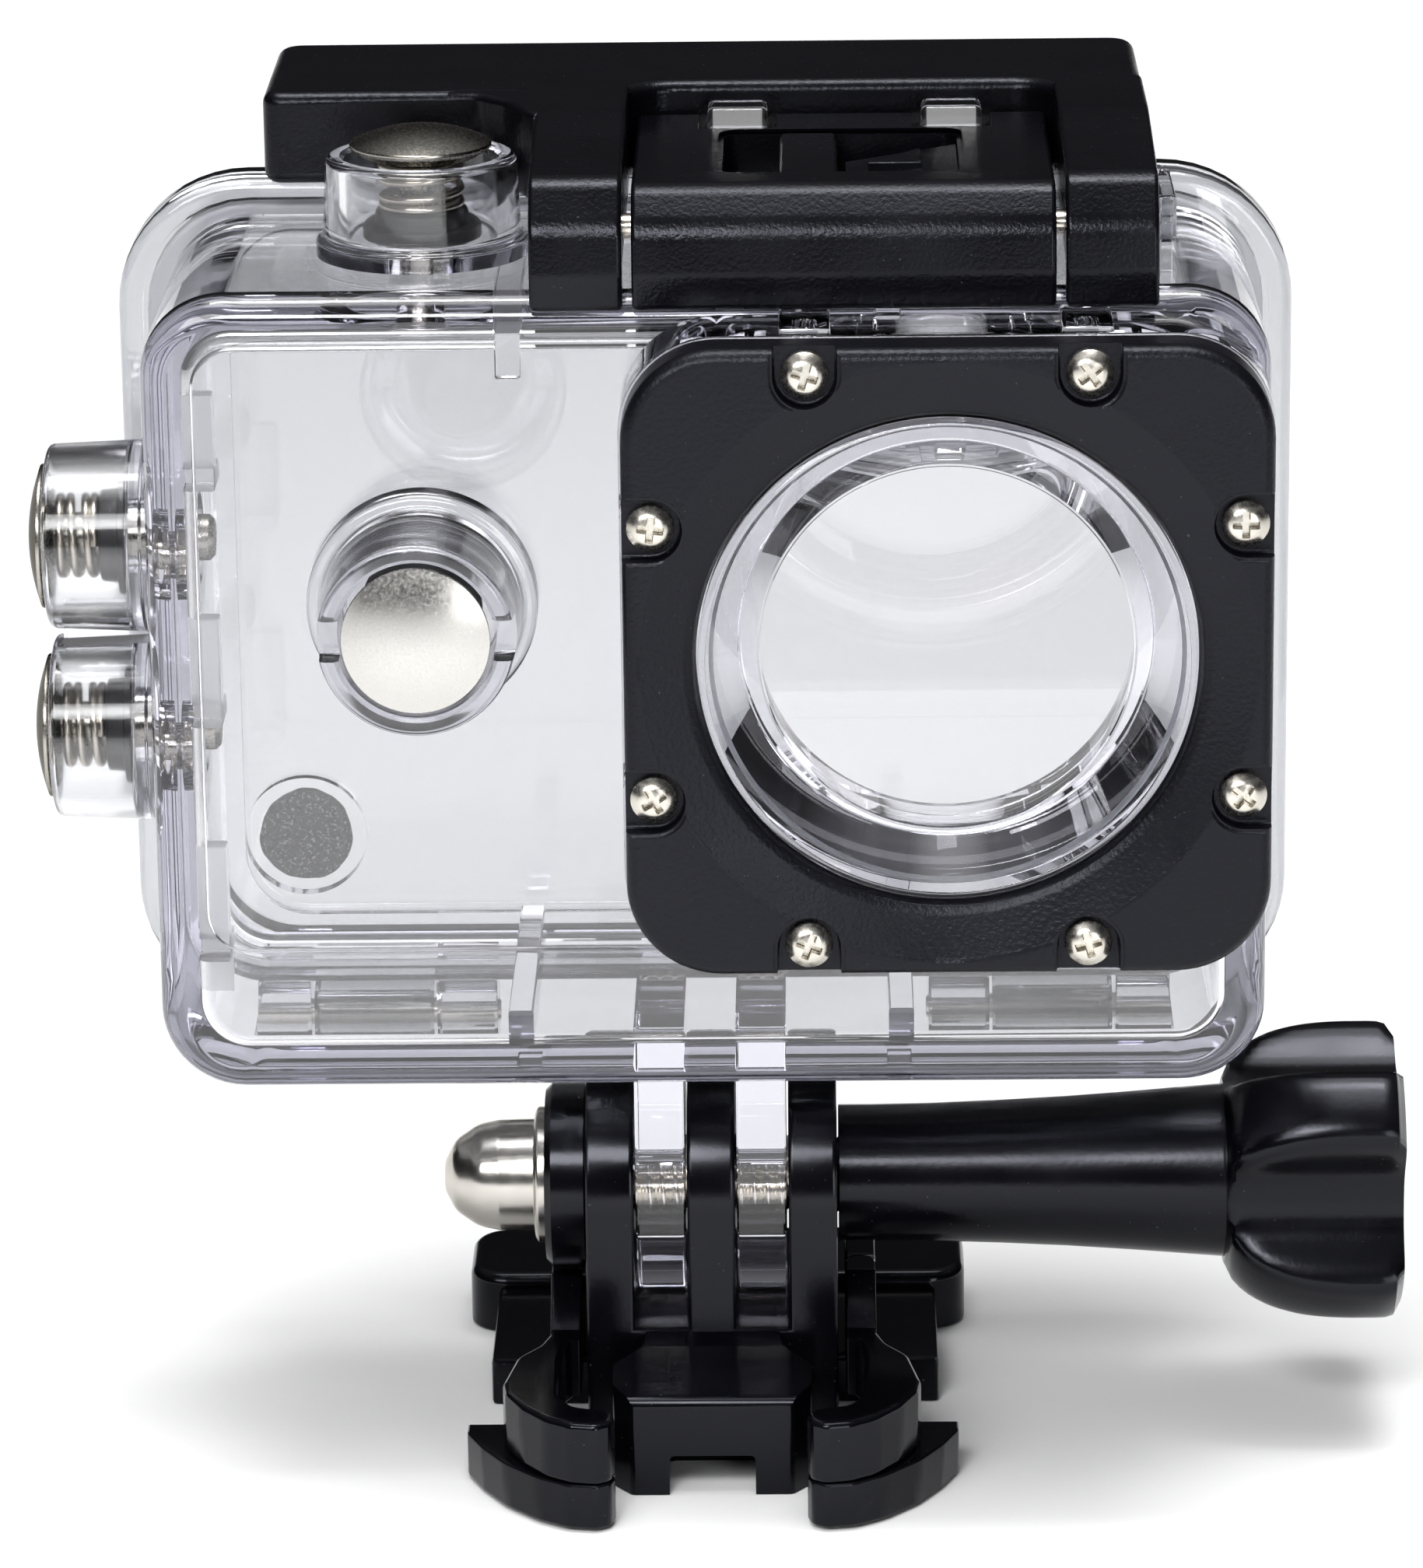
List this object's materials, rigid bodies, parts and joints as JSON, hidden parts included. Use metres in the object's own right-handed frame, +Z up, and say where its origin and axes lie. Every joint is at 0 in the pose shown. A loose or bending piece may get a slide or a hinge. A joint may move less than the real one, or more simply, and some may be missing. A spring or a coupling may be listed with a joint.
{
  "type": "action camera waterproof housing",
  "caption": "Clear waterproof action-camera housing with sprung buttons, hinged back door and over-centre latch, on a tilting quick-release buckle.",
  "frame": {"origin": "centre of the flat underside of the quick-release buckle, straight below the tilt axis", "axes": "+X to the right seen from the lens side and along the tilt axis, +Y away from the lens side, +Z up out of the buckle"},
  "size_m": [0.0827, 0.0437, 0.0819],
  "materials": {
    "black_buckle": "gloss black moulded plastic",
    "black_handle": "gloss black moulded plastic",
    "black_latch": "fine-grained satin black plastic",
    "black_bezel": "fine-grained satin black plastic",
    "black_rubber": "black rubber",
    "pale_rubber": "translucent silicone",
    "grey_foam": "closed-cell foam",
    "clear_shell": "clear polycarbonate, polished",
    "clear_door": "clear polycarbonate, polished",
    "clear_lens": "clear optical port, polished",
    "chrome_nut": "bright nickel plate",
    "nickel_cap": "finely brushed nickel",
    "spring_steel": "drawn spring wire",
    "screw_steel": "nickel-plated screw",
    "steel_pin": "plain turned steel"
  },
  "bodies": {
    "buckle": {"buckle_base": "black_buckle", "cap_nut": "chrome_nut"},
    "left_arm": {"left_arm": "black_buckle"},
    "right_arm": {"right_arm": "black_buckle"},
    "thumbscrew": {"thumbscrew_handle": "black_handle", "clamp_bolt": "steel_pin"},
    "housing": {"front_shell": "clear_shell", "lens_bezel": "black_bezel", "lens_port": "clear_lens", "lens_gasket": "pale_rubber", "bezel_screws": "screw_steel", "foam_disc": "grey_foam", "door_hinge_pins": "steel_pin", "latch_pivot_pin": "steel_pin", "shutter_spring": "spring_steel", "shutter_seal": "black_rubber", "mode_spring": "spring_steel", "mode_seal": "black_rubber", "upper_spring": "spring_steel", "upper_seal": "black_rubber", "lower_spring": "spring_steel", "lower_seal": "black_rubber"},
    "door": {"back_door": "clear_door", "door_gasket": "pale_rubber"},
    "latch_lever": {"latch_lever": "black_latch"},
    "latch_frame": {"latch_frame": "black_latch", "frame_pin": "steel_pin"},
    "lock_slider": {"lock_slider": "black_latch"},
    "shutter_button": {"shutter_cap": "nickel_cap", "shutter_clip": "steel_pin"},
    "mode_button": {"mode_cap": "nickel_cap", "mode_clip": "steel_pin"},
    "upper_button": {"upper_cap": "nickel_cap", "upper_clip": "steel_pin"},
    "lower_button": {"lower_cap": "nickel_cap", "lower_clip": "steel_pin"}
  },
  "joints": [
    {"name": "housing_tilt", "type": "hinge", "parent": "buckle", "child": "housing", "pos_m": [0, 0, 0.0155], "axis": [1, 0, 0], "range_deg": [-30, 60]},
    {"name": "thumbscrew_turn", "type": "hinge", "parent": "buckle", "child": "thumbscrew", "pos_m": [0, 0, 0.0155], "axis": [1, 0, 0], "continuous": true},
    {"name": "left_arm_squeeze", "type": "hinge", "parent": "buckle", "child": "left_arm", "pos_m": [-0.00905, 0.0005, 0.003], "axis": [0, 0, 1], "range_deg": [0, 3.5], "stiffness_Nm_per_rad": 1.2, "springref_deg": -1.15},
    {"name": "right_arm_squeeze", "type": "hinge", "parent": "buckle", "child": "right_arm", "pos_m": [0.00905, 0.0005, 0.003], "axis": [0, 0, -1], "range_deg": [0, 3.5], "stiffness_Nm_per_rad": 1.2, "springref_deg": -1.15},
    {"name": "door_swing", "type": "hinge", "parent": "housing", "child": "door", "pos_m": [0, 0.0131, 0.0204], "axis": [-1, 0, 0], "range_deg": [0, 95]},
    {"name": "latch_lift", "type": "hinge", "parent": "housing", "child": "latch_lever", "pos_m": [0.0084, 0.007, 0.0784], "axis": [-1, 0, 0], "range_deg": [0, 90]},
    {"name": "frame_swing", "type": "hinge", "parent": "latch_lever", "child": "latch_frame", "pos_m": [0.0084, -0.0095, 0.0772], "axis": [1, 0, 0], "range_deg": [0, 90]},
    {"name": "lock_slide", "type": "slide", "parent": "latch_lever", "child": "lock_slider", "axis": [-1, 0, 0], "range_m": [0, 0.003], "stiffness_N_per_m": 120, "springref_m": -0.001},
    {"name": "shutter_press", "type": "slide", "parent": "housing", "child": "shutter_button", "axis": [0, 0, -1], "range_m": [0, 0.0012], "stiffness_N_per_m": 500, "springref_m": -0.0012, "deforming": ["shutter_spring"]},
    {"name": "mode_press", "type": "slide", "parent": "housing", "child": "mode_button", "axis": [0, 1, 0], "range_m": [0, 0.0012], "stiffness_N_per_m": 500, "springref_m": -0.0012, "deforming": ["mode_spring"]},
    {"name": "upper_press", "type": "slide", "parent": "housing", "child": "upper_button", "axis": [1, 0, 0], "range_m": [0, 0.0012], "stiffness_N_per_m": 500, "springref_m": -0.0012, "deforming": ["upper_spring"]},
    {"name": "lower_press", "type": "slide", "parent": "housing", "child": "lower_button", "axis": [1, 0, 0], "range_m": [0, 0.0012], "stiffness_N_per_m": 500, "springref_m": -0.0012, "deforming": ["lower_spring"]}
  ],
  "couplings": [
    {"joint": "frame_swing", "follows": "latch_lift", "ratio": 1}
  ]
}
